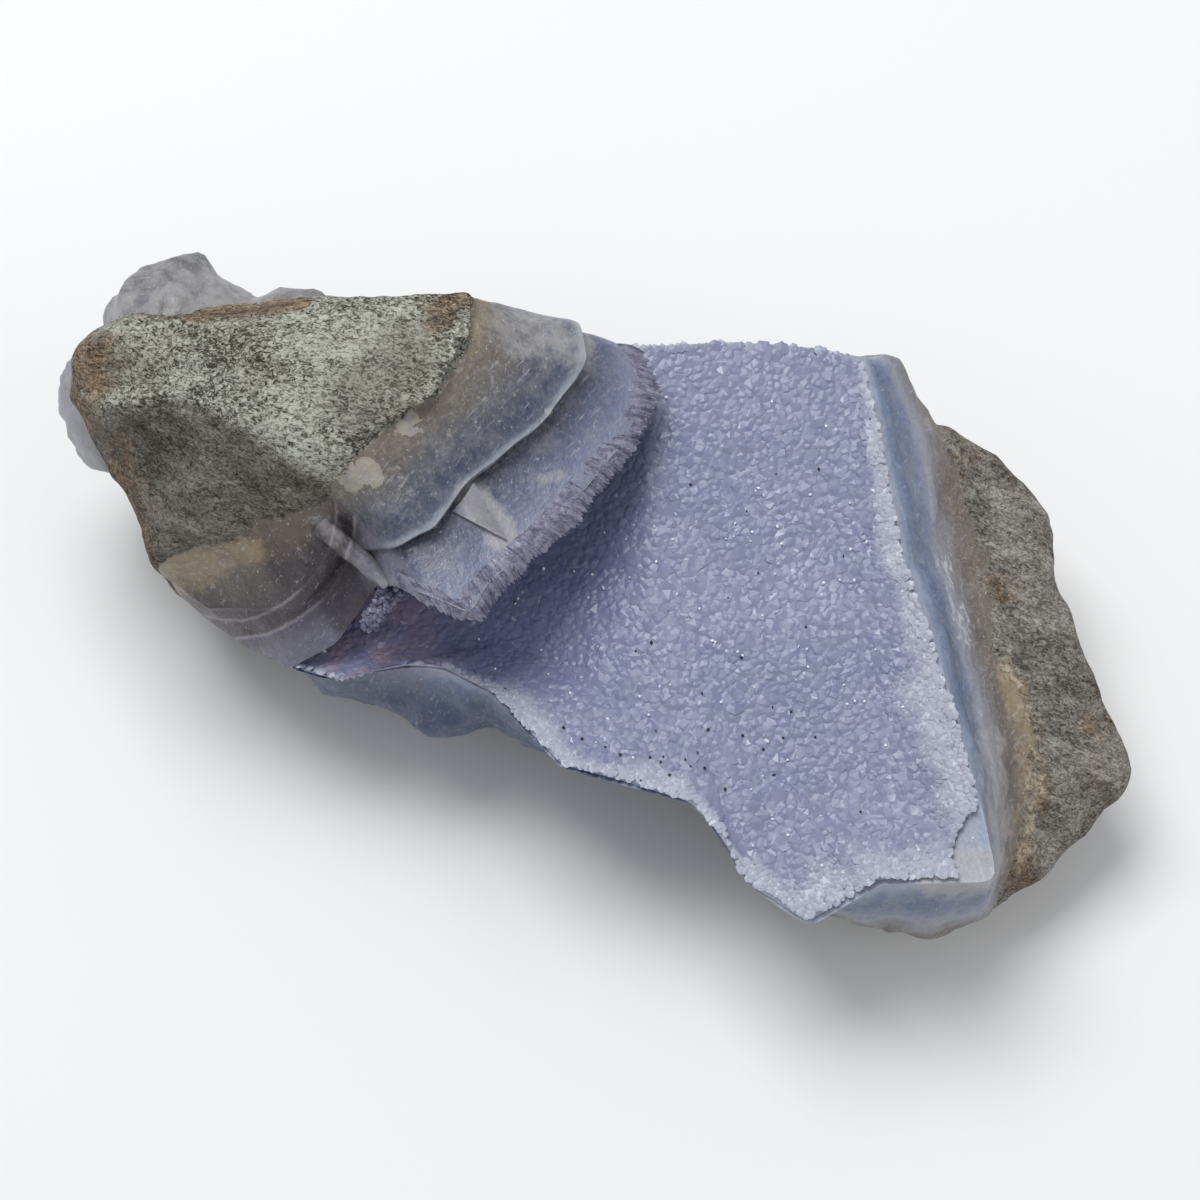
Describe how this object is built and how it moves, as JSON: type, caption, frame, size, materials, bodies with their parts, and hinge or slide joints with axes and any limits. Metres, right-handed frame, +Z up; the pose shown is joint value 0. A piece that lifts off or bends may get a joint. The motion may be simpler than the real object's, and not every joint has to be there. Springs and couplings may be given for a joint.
{
  "type": "blue lace agate geode",
  "caption": "Broken piece of an agate geode: grey host rock, a blue banded agate lining and a hollow paved with small lavender quartz crystals, flat spot to stand on.",
  "frame": {"origin": "centre of the stone's bounding box, on the surface it stands on", "axes": "+Z up, +X along the stone's length from the end with the roofed hollow to the low end, +Y to the back"},
  "size_m": [0.1101, 0.0671, 0.0454],
  "materials": {
    "rock_and_agate": "matte",
    "quartz_druse": "satin"
  },
  "bodies": {
    "root": {"geode_stone": "rock_and_agate", "crystal_crust": "quartz_druse"}
  },
  "joints": []
}
